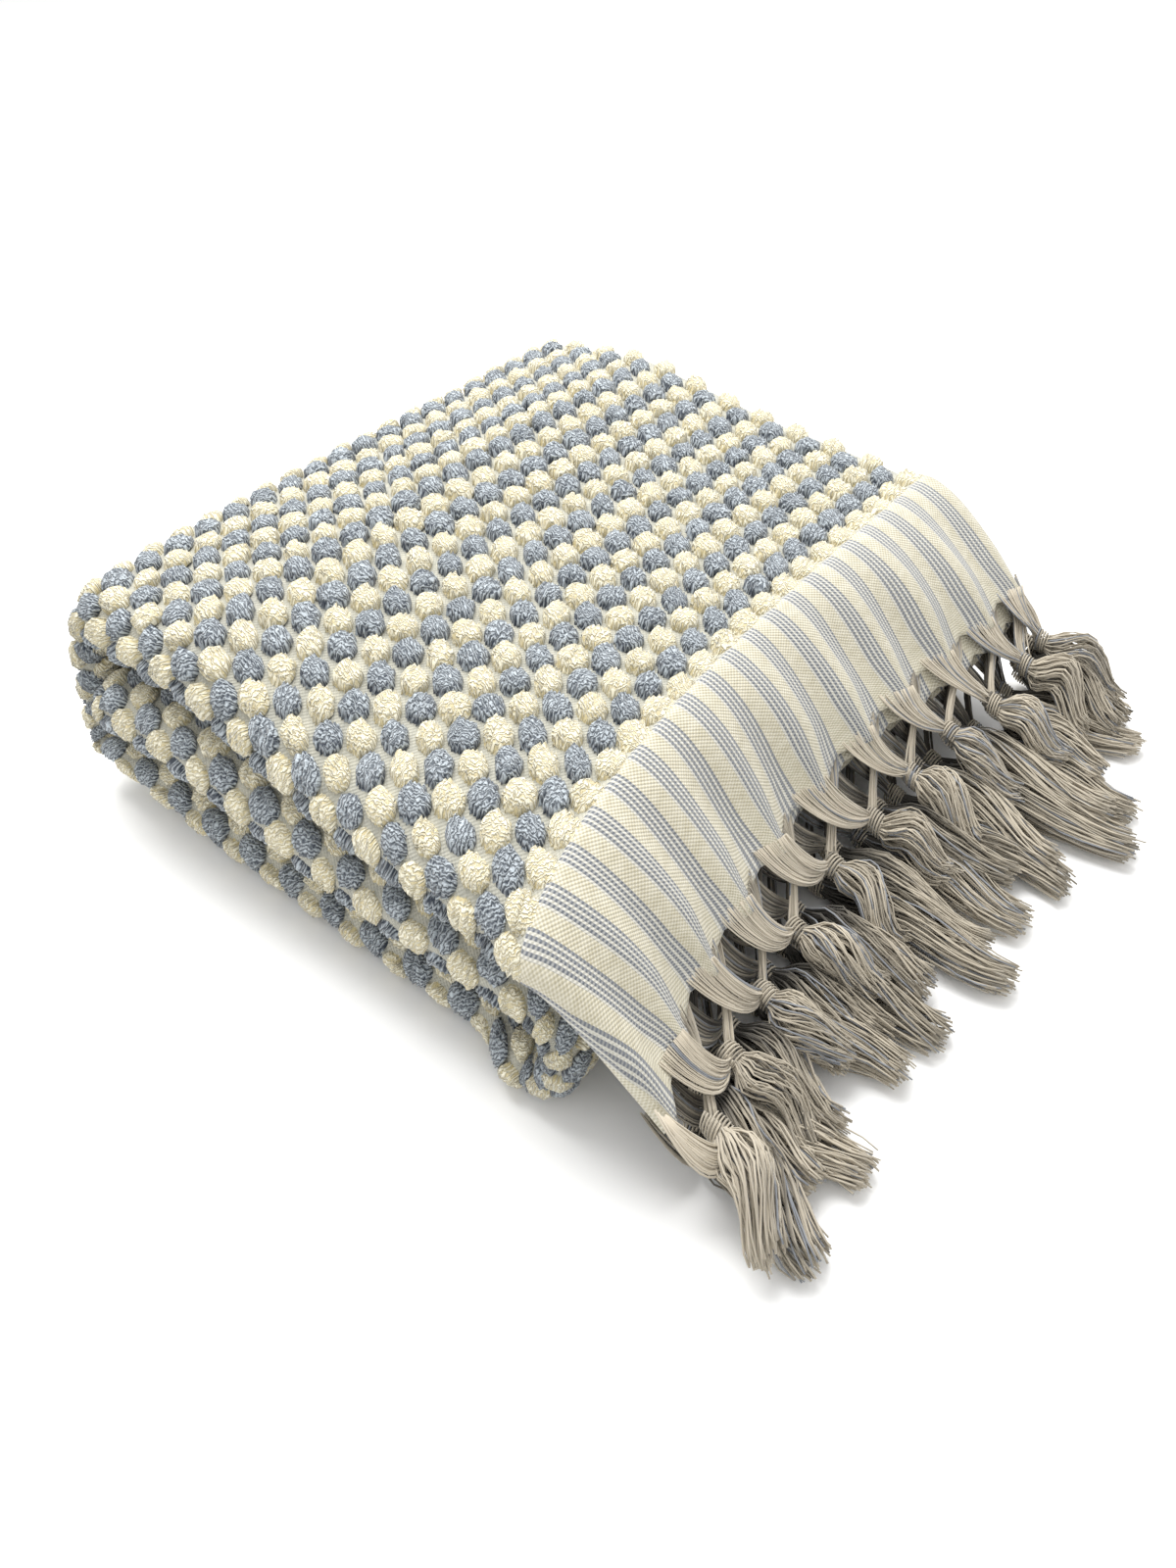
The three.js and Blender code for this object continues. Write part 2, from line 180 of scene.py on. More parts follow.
def left_wrap(turn, y):
    """The bend at the left: a super-ellipse with a slight waist, from the top to the bottom."""
    high = stack_height(LEFT_X, y)
    low, bottom, middle = heel(LEFT_X), BOTTOM * high, MIDDLE * high
    square = np.where(turn > np.pi / 2, 0.85, 0.7)
    left = np.abs(np.sin(turn)) ** square
    up = np.sign(np.cos(turn)) * np.abs(np.cos(turn)) ** square
    half = (high - middle + bottom - low) / 4
    waist = 1 - 0.1 * np.exp(-(((up + 0.1) / 0.3) ** 2))
    outer = around(LEFT_X, -(LEFT_REACH + half) * waist * left, up, high, low)
    return outer, around(LEFT_X, -(LEFT_REACH - half) * waist * left, up, middle, bottom)


def bottom_pass(x, y):
    """Between the floor, or the lifted heel, and the first level."""
    level = BOTTOM * stack_height(x, y)
    return np.stack([x + 0 * level, heel(x) + 0 * level], -1), np.stack([x + 0 * level, level], -1)


def right_fold(turn, y):
    """The bend at the right: half ellipses about one axis, from the floor up to the middle pass."""
    high = stack_height(RIGHT_X, y)
    across, up = np.sin(turn), -np.cos(turn)
    outer = around(RIGHT_X, MIDDLE * high / 2 * across, up, MIDDLE * high, 0)
    slot = (TUCKED - BOTTOM) * high / 2
    return outer, around(RIGHT_X, slot * across, up, TUCKED * high, BOTTOM * high)


def middle_pass(x, y):
    """Between the levels of the tucked end and of the middle pass."""
    high = stack_height(x, y)
    return np.stack([x + 0 * high, MIDDLE * high], -1), np.stack([x + 0 * high, TUCKED * high], -1)


def tuck_fold(turn, y):
    """The bend that tucks the hidden end in: its inner side is a single axis."""
    high = stack_height(TUCK_X, y)
    up = np.cos(turn)
    rise = np.where(up > 0, MIDDLE - TUCKED, TUCKED - BOTTOM) * high
    across = (MIDDLE - BOTTOM) * high / 2 * np.sin(turn)
    outer = np.stack([TUCK_X - across, TUCKED * high + rise * up], -1)
    return outer, np.stack([TUCK_X + 0 * high, TUCKED * high], -1)


def tucked_pass(x, y):
    """The hidden end, between the bottom pass and the middle pass, its outer side down."""
    high = stack_height(x, y)
    return np.stack([x + 0 * high, BOTTOM * high], -1), np.stack([x + 0 * high, TUCKED * high], -1)


def path_sections():
    """The towel's path, one entry for each stretch: its pass, its places and its front lines."""
    def drift(x):
        return FRONT["top"] - SKEW * x / PITCH

    edge = np.linspace(EDGE_X, 0.05 * PITCH, 22)
    start = np.linspace(0, -0.8 * PITCH, 7)
    top = np.linspace(-1.0 * PITCH, LEFT_X, 50)
    half_turn = np.linspace(0, np.pi, 33)
    wrap = half_turn[1:]
    bottom = np.linspace(LEFT_X + 0.3 * PITCH, 0.1 * PITCH, 54)
    middle = np.linspace(0.1 * PITCH, TUCK_X + 0.3 * PITCH, 50)
    tucked = np.linspace(TUCK_X + 0.3 * PITCH, HIDDEN_EDGE_X, 30)
    drop = mix(drift(LEFT_X), FRONT["bottom"], smooth(wrap / np.pi))
    to_corner = mix(FRONT["bottom"], FRONT["bottom_right"], smooth((bottom + PITCH) / PITCH))
    turn_up = mix(FRONT["bottom_right"], FRONT["middle"], half_turn / np.pi)
    turn_in = mix(FRONT["middle"], FRONT["tucked"], smooth(half_turn / np.pi))
    return [
        (top_pass, edge, np.full(len(edge), FRONT["end"])),
        (top_pass, start, mix(FRONT["end"], drift(start), -start / (0.8 * PITCH))),
        (top_pass, top, drift(top)),
        (left_wrap, wrap, drop),
        (bottom_pass, bottom, to_corner),
        (right_fold, half_turn, turn_up),
        (middle_pass, middle, np.full(len(middle), FRONT["middle"])),
        (tuck_fold, half_turn, turn_in),
        (tucked_pass, tucked, np.full(len(tucked), FRONT["tucked"])),
    ]


def layer_line(half):
    """The line that a layer follows through a pass, for an array of half thicknesses: over the
    outer third, half an ellipse at the round fold, back through the inner third, a small half
    ellipse at the back, and forward between them. Gives depth, level, and the side that faces
    out, each with one row for every half thickness."""
    column = half[:, None]
    roll = (ROLL_REACH + LAYER_HALF) * column
    tuck = (TUCK_REACH + LAYER_HALF) * column
    back = WIDTH - roll - tuck
    ease = np.linspace(1, 0, FLAT_POINTS)[None, :] ** 1.35
    turn = np.linspace(0, np.pi, FOLD_POINTS)[None, 1:-1]
    small = np.linspace(0, np.pi, BACK_POINTS)[None, 1:-1]
    ones = np.ones_like(column)

    def bend(angle, start, end, depth, reach):
        level = mix(start, end, 0.5 - 0.5 * np.cos(angle)) * ones
        aside = np.sign(reach) * np.sin(angle) * ones
        up = np.sign(start - end) * np.cos(angle) * ones
        return depth + reach * column * np.sin(angle), level, aside, up

    def flat(depth, level, up):
        return depth, level + 0 * depth, 0 * depth, up + 0 * depth

    parts = [
        flat(roll + ease * (WIDTH - roll), LAYER_OUTER, 1.0),
        bend(turn, LAYER_OUTER, LAYER_INNER, roll, -ROLL_REACH),
        flat(roll + ease[:, ::-1] * back, LAYER_INNER, -1.0),
        bend(small, LAYER_INNER, LAYER_TUCKED, roll + back, TUCK_REACH),
        flat(roll + ease * back, LAYER_TUCKED, 1.0),
    ]
    return [np.concatenate(columns, 1) for columns in zip(*parts)]


def section_points(place, spot, front, share):
    """Points of a stretch of the path at a share of the layer's half thickness: the layer line,
    moved out by that share, put between the pass's inner and outer side, and bowed."""
    near = front * PITCH + PITCH
    outer, inner = place(spot, near)
    half = np.linalg.norm(outer - inner, axis=-1) / 2
    depth, level, aside, up = layer_line(half)
    y = (front * PITCH)[:, None] + depth + share * LAYER_HALF * half[:, None] * aside
    outer, inner = place(spot[:, None] + 0 * y, y)
    across = ((level + share * LAYER_HALF * up + 1) / 2)[..., None]
    flat = mix(inner, outer, across)
    x = END_ROW_X + flat[..., 0] + bow(flat[..., 0], y)
    return np.stack([x, FRONT_Y + y, np.maximum(flat[..., 1], 0)], -1)


class Lattice:
    """The towel's surface by row and column: rows are counted from the end row along the path,
    columns from the foremost line along the weft."""

    def __init__(self):
        self.columns = np.arange(TUCKED_SELVEDGE, SELVEDGE + 0.01, COLUMN_STEP)
        sections = path_sections()
        skins = {share: np.concatenate([section_points(p, s, f, share) for p, s, f in sections])
                 for share in (-1.0, 1.0)}
        middle = (skins[-1.0] + skins[1.0]) / 2
        nose = FLAT_POINTS + FOLD_POINTS // 2 - 1
        steps = np.linalg.norm(np.diff(middle, axis=1), axis=-1)
        run = np.concatenate([np.zeros((len(middle), 1)), np.cumsum(steps, 1)], 1)
        run = run[:, nose : nose + 1] - run
        over = FOREMOST + run * (SELVEDGE - FOREMOST) / run[:, :1]
        under = FOREMOST + run * (TUCKED_SELVEDGE - FOREMOST) / run[:, -1:]
        run = np.where(run > 0, over, under)
        self.skins = {share: np.stack([[np.interp(self.columns, r[::-1], p[::-1, k]) for k in range(3)]
                                       for r, p in zip(run, skin)]).transpose(0, 2, 1)
                      for share, skin in skins.items()}
        line = self.skins[1.0][:, np.searchsorted(self.columns, COUNTED_COLUMN)]
        length = np.concatenate([[0], np.cumsum(np.linalg.norm(np.diff(line, axis=0), axis=-1))])
        end_row = len(sections[0][1])
        self.rows = (length - length[end_row]) / ROW

    def point(self, row, column, share):
        """The surface at rows and columns, for a share from the inner skin 0 to the outer 1: a
        blend of the four nearest grid points of each skin."""
        i = np.clip(np.searchsorted(self.rows, row) - 1, 0, len(self.rows) - 2)
        a = np.clip((row - self.rows[i]) / (self.rows[i + 1] - self.rows[i]), 0, 1)[..., None]
        place = np.clip((column - self.columns[0]) / COLUMN_STEP, 0, len(self.columns) - 1.001)
        j = place.astype(int)
        b = (place - j)[..., None]

        def skin(grid):
            return mix(mix(grid[i, j], grid[i + 1, j], a), mix(grid[i, j + 1], grid[i + 1, j + 1], a), b)

        return mix(skin(self.skins[-1.0]), skin(self.skins[1.0]), share[..., None])


LATTICE = Lattice()
FIRST_ROW, LAST_ROW = LATTICE.rows[0], LATTICE.rows[-1]
LAST_BOBBLE_ROW = LAST_ROW - HIDDEN_BORDER / ROW


def mesh_object(name, points, faces, attributes=(), uv=None):
    """An object at the origin, shaded smooth, whose mesh has these points, in millimetres, and
    these faces."""
    mesh = bpy.data.meshes.new(name)
    mesh.vertices.add(len(points))
    mesh.vertices.foreach_set("co", (points * MM).astype(np.float32).ravel())
    mesh.loops.add(faces.size)
    mesh.loops.foreach_set("vertex_index", faces.astype(np.int32).ravel())
    mesh.polygons.add(len(faces))
    mesh.polygons.foreach_set("loop_start", np.arange(0, faces.size, faces.shape[1], dtype=np.int32))
    mesh.polygons.foreach_set("use_smooth", np.full(len(faces), True))
    mesh.update(calc_edges=True)
    for key, values in attributes:
        layer = mesh.attributes.new(key, "FLOAT", "POINT")
        layer.data.foreach_set("value", values.astype(np.float32))
    if uv is not None:
        layer = mesh.uv_layers.new(name="cloth")
        layer.data.foreach_set("uv", uv[faces.ravel()].astype(np.float32).ravel())
    mesh.validate()
    thing = bpy.data.objects.new(name, mesh)
    bpy.context.scene.collection.objects.link(thing)
    return thing


def grid_faces(rows, columns, wrap=False):
    """Quads of a grid of rows by columns, closed from the last column to the first if wrapped."""
    i, j = np.meshgrid(np.arange(rows - 1), np.arange(columns if wrap else columns - 1), indexing="ij")
    k = (j + 1) % columns
    quads = [i * columns + j, i * columns + k, (i + 1) * columns + k, (i + 1) * columns + j]
    return np.stack(quads, -1).reshape(-1, 4)


SIDES = 4  # points round a yarn


def tubes(paths, radii):
    """Points and faces of closed tubes with four sides: each path's points carry a ring square to
    the path, turned from two fixed side directions, and both ends are closed by a quad."""
    count, length = paths.shape[:2]
    along = np.gradient(paths, axis=1)
    along /= np.linalg.norm(along, axis=-1, keepdims=True)
    across = np.cross(along, [0.13, 0.21, 0.97])
    across /= np.linalg.norm(across, axis=-1, keepdims=True)
    up = np.cross(across, along)
    angle = np.arange(SIDES) * 2 * np.pi / SIDES
    ring = across[:, :, None] * np.cos(angle)[:, None] + up[:, :, None] * np.sin(angle)[:, None]
    points = paths[:, :, None] + ring * radii[..., None, None]
    first = np.arange(SIDES)[None, ::-1]
    last = (length - 1) * SIDES + np.arange(SIDES)[None, :]
    one = np.concatenate([grid_faces(length, SIDES, wrap=True), first, last])
    start = np.arange(count) * length * SIDES
    return points.reshape(-1, 3), (one[None] + start[:, None, None]).reshape(-1, 4)


class ShaderTree:
    """A material's node tree, with one function that adds a node with its settings and links."""

    def __init__(self, name):
        self.material = bpy.data.materials.new(name)
        self.material.use_nodes = True
        self.tree = self.material.node_tree
        self.tree.nodes.clear()

    def node(self, kind, inputs=None, **settings):
        """Adds a node. Settings are its properties, and inputs are values or sockets by name or
        number."""
        made = self.tree.nodes.new(kind)
        for key, value in settings.items():
            setattr(made, key, value)
        for key, value in (inputs or {}).items():
            if isinstance(value, bpy.types.NodeSocket):
                self.tree.links.new(value, made.inputs[key])
            else:
                made.inputs[key].default_value = value
        return made

    def math(self, operation, *values):
        """One Math node's result."""
        return self.node("ShaderNodeMath", dict(enumerate(values)), operation=operation).outputs[0]

    def blend(self, factor, a, b):
        """A colour between a and b."""
        inputs = {0: factor, 6: a, 7: b}
        return self.node("ShaderNodeMix", inputs, data_type="RGBA").outputs[2]


# A border's stripe group, in columns: half its width, and from one of its lines to the next
GROUP_HALF, GROUP_LINE = 0.27, 0.135


def woven_cotton(sizes, colours):
    """Plain-woven cotton, matt, with stripe groups of four dashed warp lines in the borders, and
    the weave's small bumps, one for each crossing."""
    cloth = ShaderTree("Plain-woven cotton with slate warp stripes")
    uv = cloth.node("ShaderNodeUVMap", uv_map="cloth").outputs[0]
    split = cloth.node("ShaderNodeSeparateXYZ", {0: uv}).outputs
    column, row = split[0], split[1]
    from_group = cloth.math("SUBTRACT", cloth.math("FRACT", column), 0.5)
    near = cloth.math("LESS_THAN", cloth.math("ABSOLUTE", from_group), GROUP_HALF)
    line = cloth.math("ADD", from_group, GROUP_LINE / 2)
    line = cloth.math("SINE", cloth.math("MULTIPLY", line, 2 * np.pi / GROUP_LINE))
    warp = cloth.math("MULTIPLY", near, cloth.math("GREATER_THAN", line, -0.25))
    weft_step = 2 * np.pi * ROW / sizes.weft_spacing * MM
    dash = cloth.math("SINE", cloth.math("MULTIPLY", row, weft_step))
    dashed = cloth.math("MULTIPLY", warp, cloth.math("ADD", 0.8, cloth.math("MULTIPLY", dash, 0.2)))
    border_end = cloth.math("LESS_THAN", row, -0.35)
    hidden_end = cloth.math("GREATER_THAN", row, float(LAST_BOBBLE_ROW))
    in_border = cloth.math("ADD", border_end, hidden_end)
    noise = cloth.node("ShaderNodeTexNoise", {"Vector": uv, "Scale": 3.0, "Detail": 4.0}).outputs[0]
    ends = cloth.math("SINE", cloth.math("MULTIPLY", column, 2 * np.pi * PITCH * MM / sizes.warp_spacing))
    crossing = cloth.math("MULTIPLY", ends, dash)
    speckle = cloth.math("MULTIPLY_ADD", crossing, 0.5, noise)
    cream = cloth.blend(speckle, list(colours.border_shade), list(colours.border))
    tinted = cloth.blend(cloth.math("MULTIPLY", near, 0.5), cream, list(colours.stripe_ground))
    striped = cloth.blend(dashed, tinted, list(colours.stripe))
    # The weave between the bobbles is mottled at random, and its dark colour is partly painted shade of the
    # bobbles over it
    ground = cloth.blend(noise, list(colours.ground_shade), list(colours.ground))
    colour = cloth.blend(in_border, ground, striped)
    bump = cloth.node("ShaderNodeBump", {"Height": crossing, "Strength": 0.5, "Distance": 0.0004})
    surface = cloth.node("ShaderNodeBsdfPrincipled", {
        "Base Color": colour, "Roughness": 0.95, "Sheen Weight": 0.25, "Sheen Roughness": 0.6,
        "Normal": bump.outputs[0]})
    cloth.node("ShaderNodeOutputMaterial", {0: surface.outputs[0]})
    return cloth.material


def looped_cotton(name, light, dark):
    """Soft plied cotton in loops, matt with a little fuzz: curled loops 1.3 mm apart as bent bands,
    with painted shade between them and at the foot of the bobble. The UV is in millimetres of the bobble."""
    yarn = ShaderTree(name)
    uv = yarn.node("ShaderNodeUVMap", uv_map="cloth").outputs[0]
    height = yarn.node("ShaderNodeAttribute", attribute_name="lift").outputs["Fac"]
    loops = yarn.node("ShaderNodeTexWave", {"Vector": uv, "Scale": 0.34, "Distortion": 9.0, "Detail": 2.0,
                                            "Detail Scale": 1.6}, bands_direction="DIAGONAL").outputs["Fac"]
    fuzz = yarn.node("ShaderNodeTexNoise", {"Vector": uv, "Scale": 1.6, "Detail": 3.0}).outputs[0]
    # Painted shade: the loop bands and the lift attribute darken the colour between loops and towards the
    # bobble's foot
    shade = yarn.math("MULTIPLY_ADD", loops, 0.85, yarn.math("MULTIPLY_ADD", height, 0.5, -0.2))
    shade = yarn.math("ADD", shade, yarn.math("MULTIPLY_ADD", fuzz, 0.6, -0.3))
    colour = yarn.blend(yarn.math("MAXIMUM", yarn.math("MINIMUM", shade, 1.0), 0.0), dark, light)
    bump = yarn.node("ShaderNodeBump", {"Height": loops, "Strength": 0.8, "Distance": 0.001})
    surface = yarn.node("ShaderNodeBsdfPrincipled", {
        "Base Color": colour, "Roughness": 0.95, "Sheen Weight": 0.35, "Sheen Roughness": 0.5,
        "Normal": bump.outputs[0]})
    yarn.node("ShaderNodeOutputMaterial", {0: surface.outputs[0]})
    return yarn.material


def loose_cotton(colours):
    """Loose cotton warp yarns, matt, by each yarn's own tone: slate at none, and from a tenth up
    undyed cotton, which is painted darker, as shade, where it lies deep under other yarns."""
    yarn = ShaderTree("Loose plied cotton warp yarn")
    tone = yarn.node("ShaderNodeAttribute", attribute_name="tone").outputs["Fac"]
    ramp = yarn.node("ShaderNodeValToRGB", {0: tone})
    # The dark stop is painted shade for yarns that lie deep under other yarns
    stops = [(0.0, colours.yarn_slate), (0.1, colours.yarn_painted_shade),
             (0.4, colours.yarn), (1.0, colours.yarn_light)]
    while len(ramp.color_ramp.elements) < len(stops):
        ramp.color_ramp.elements.new(0.5)
    for element, (place, value) in zip(ramp.color_ramp.elements, stops):
        element.position = place
        element.color = list(value)
    surface = yarn.node("ShaderNodeBsdfPrincipled", {
        "Base Color": ramp.outputs[0], "Roughness": 0.9, "Sheen Weight": 0.3, "Sheen Roughness": 0.5})
    yarn.node("ShaderNodeOutputMaterial", {0: surface.outputs[0]})
    return yarn.material


def colour_property(name, description, code):
    """A colour property whose default is an sRGB hex colour."""
    return bpy.props.FloatVectorProperty(name=name, description=description, size=4, subtype="COLOR",
                                         default=linear(code), min=0.0, max=1.0)


def length_property(name, description, millimetres):
    """A length property whose default is given in millimetres."""
    return bpy.props.FloatProperty(name=name, description=description, default=millimetres * MM,
                                   unit="LENGTH", min=0.0, precision=5)


class TowelSizes(bpy.types.PropertyGroup):
    """Sizes that set how coarse or fine the towelling looks."""

    ground: length_property("Ground", "Thickness of the weave that carries the bobbles", 2.2)
    bobble_weft: length_property("Bobble width", "Half the size of a bobble along the weft", 6.3)
    bobble_warp: length_property("Bobble length", "Half the size of a bobble along the warp", 6.2)
    ridge: length_property("Loop relief", "How far a bobble's loops stand out from each other", 1.5)
    warp_spacing: length_property("Warp spacing", "Two warp ends of the border", 1.9)
    weft_spacing: length_property("Weft spacing", "Two picks of the border, drawn a little coarse", 1.5)
    yarn: length_property("Yarn", "Radius of a fringe yarn", 0.36)
    seed: bpy.props.IntProperty(name="Seed", description="Seed of the small unevenness", default=7)


class TowelColours(bpy.types.PropertyGroup):
    """Colours of the yarns."""

    # The bobbles' shade colours are painted shade, in the grooves between their loops and at their foot
    cream: colour_property("Cream", "Cream bobbles", "#F8F3DD")
    cream_shade: colour_property("Cream shade", "Cream bobbles between their loops", "#CDBF93")
    slate: colour_property("Slate", "Slate bobbles", "#BFC8CE")
    slate_shade: colour_property("Slate shade", "Slate bobbles between their loops", "#2B3441")
    # The ground colours are partly the weave's grey mottling and partly painted shade between the bobbles
    ground: colour_property("Ground", "Weave between the bobbles", "#CBC7B5")
    ground_shade: colour_property("Ground shade", "Darker weave between the bobbles", "#8E908A")
    border: colour_property("Border", "Undyed border", "#D6D1BF")
    border_shade: colour_property("Border shade", "Undyed border, darker", "#ADA58A")
    stripe: colour_property("Stripe", "Dashed warp lines", "#646972")
    stripe_ground: colour_property("Stripe ground", "White ends between the dashed lines", "#C8C9C7")
    yarn: colour_property("Fringe", "Undyed fringe yarn", "#A89F8E")
    yarn_light: colour_property("Fringe light", "Lightest fringe yarn", "#CBC1AE")
    yarn_slate: colour_property("Fringe slate", "Slate fringe yarn", "#878A8F")
    # Painted shade: a near-black brown for fringe yarn that lies deep under other yarns
    yarn_painted_shade: colour_property("Fringe dark", "Fringe yarn deep under other yarns", "#35322D")


def ground_share(sizes):
    """Share of the layer's thickness that the ground weave takes, at a layer of 7.5 mm."""
    return sizes.ground / MM / 7.5


# Columns of the notches between the gathered scallops of the visible edge, as uneven as they are
NOTCHES = np.array([-0.5, 0.8, 2.7, 4.4, 6.4, 8.5, 10.8, 12.8, 14.9, 17.0, 19.0, 21.0])
KNOTS = np.array([1.0, 2.6, 4.5, 6.4, 8.6, 10.7, 12.6, 14.5, 16.5, 18.6, 19.9])
EDGE_SCALLOP = 0.5  # rows by which the cloth's edge steps back at a notch
EDGE_PULL = 0.2  # columns by which the weave is drawn to the middle of its scallop
EDGE_REACH = 2.6  # rows over which that happens
EDGE_RETURN = 1.0  # rows by which the edge runs back towards the selvedge


def scallop_offset(column):
    """Place in a scallop, from -1 at the notch in front over 0 at its middle to 1 at the notch
    behind. The columns of the two lower layers are first folded back onto the upper one's."""
    depth = np.abs((column + FOLDED_COLUMNS) % (2 * FOLDED_COLUMNS) - FOLDED_COLUMNS)
    return 2 * (np.interp(depth, NOTCHES, np.arange(len(NOTCHES))) % 1) - 1


def edge_return(column):
    """Rows by which the edge has run back at a column of the upper layer: a smooth step."""
    return EDGE_RETURN * smooth((column - 4) / 13)


def edge_shape(row, column):
    """Row and column moved to the gathered edge: near the first row the column is drawn to the
    middle of its scallop by a sine of the offset, and the row steps back by the square of it. The
    whole border shortens evenly where the edge has run back."""
    near = smooth((FIRST_ROW + EDGE_REACH - row) / EDGE_REACH)
    offset = scallop_offset(column)
    pull = EDGE_PULL * np.sin(np.pi * offset)
    back = edge_return(column) * np.clip(row / FIRST_ROW, 0, 1)
    return row + back + near * EDGE_SCALLOP * offset**2, column - near * pull


def border_wave(row, column):
    """The outer border's soft folds, in shares of the layer's thickness: a cosine from notch to
    notch with a slower one across it, which grow from the end row to the gathered edge."""
    down = smooth(-row / 5)
    slow = np.sin(0.9 * column + 0.5 * row + 0.6)
    ridges = np.cos(np.pi * scallop_offset(column))
    return 0.8 * down * (0.8 * ridges + 0.5 * slow) * smooth(column - 0.3)


def make_ground(sizes, colours):
    """The cloth as one thin closed sheet: outer and inner side on the lattice, joined at all four
    edges. Its UV is column and row. Towards the hem the drawn columns run on round the foremost
    line, by a Gaussian of the column, as the border's stripes do there."""
    rows = np.concatenate([
        np.linspace(FIRST_ROW, 0, 32)[:-1],
        np.arange(0, LAST_BOBBLE_ROW, 0.8),
        np.linspace(LAST_BOBBLE_ROW, LAST_ROW, 12),
    ])
    columns = np.arange(TUCKED_SELVEDGE, SELVEDGE + 0.01, 0.25)
    row, column = np.meshgrid(rows, columns, indexing="ij")
    moved_row, moved_column = edge_shape(row, column)
    pile = smooth((row + 0.6) / 0.6) * smooth((LAST_BOBBLE_ROW - row) / 0.6 + 1)
    top = mix(0.96, ground_share(sizes), pile)
    thin = 0.02 + 0.45 * smooth((FIRST_ROW + 3 - row) / 3)
    inside = LATTICE.point(moved_row, moved_column, thin + border_wave(row, column))
    wave = border_wave(row, column)
    outside = LATTICE.point(moved_row, moved_column, top + wave)
    ring = np.concatenate([outside, inside[:, ::-1]], 1)
    drawn = column - 0.9 * smooth(row / FIRST_ROW) * np.exp(-((column / 3.5) ** 2))
    uv = np.stack([np.concatenate([drawn, drawn[:, ::-1]], 1), np.concatenate([row, row], 1)], -1)
    count = ring.shape[1]
    faces = grid_faces(len(rows), count, wrap=True)
    half = count // 2
    j = np.arange(half - 1)
    first = np.stack([j + 1, j, count - 1 - j, count - 2 - j], -1)
    last = (len(rows) - 1) * count + first[:, ::-1]
    faces = np.concatenate([faces, first, last])[:, ::-1]
    sheet = mesh_object("towel_ground", ring.reshape(-1, 3), faces, uv=uv.reshape(-1, 2))
    sheet.data.materials.append(woven_cotton(sizes, colours))
    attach(sheet, "root")
    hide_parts("towel_cloth")
    flat = ((SELVEDGE - TUCKED_SELVEDGE) * PITCH * MM, (LAST_ROW - FIRST_ROW) * ROW * MM)
    return sheet, flat


# Columns where the bobbles of every pass can be seen: round the fold in front, by the selvedge
# at the back and round the fold beside it
SEEN_COLUMNS = [(-4, 4), (16.5, 20.3), (-25, -17)]


def bobble_places(odd):
    """Rows and columns of the bobbles of one colour that can be seen from some side: even rows
    are cream on whole columns, odd rows are slate between them."""
    row = np.arange(odd, int(LAST_BOBBLE_ROW) + 1, 2.0)
    column = np.arange(int(TUCKED_SELVEDGE) + 1, 21) - 0.5 * odd
    row, column = [grid.ravel() for grid in np.meshgrid(row, column, indexing="ij")]
    outer = (column > SEEN_COLUMNS[0][0]) & (column < SEEN_COLUMNS[1][1])
    keep = outer & (row < row_of(middle_pass) + 1)
    for low, high in SEEN_COLUMNS:
        keep = keep | ((column > low) & (column < high))
    return row[keep], column[keep]


def row_of(place):
    """The row at which the path reaches a pass."""
    before = 0
    for kind, spots, _ in path_sections():
        if kind is place:
            return LATTICE.rows[before]
        before += len(spots)
    raise ValueError("the path has no such pass")


LOOPS = 7


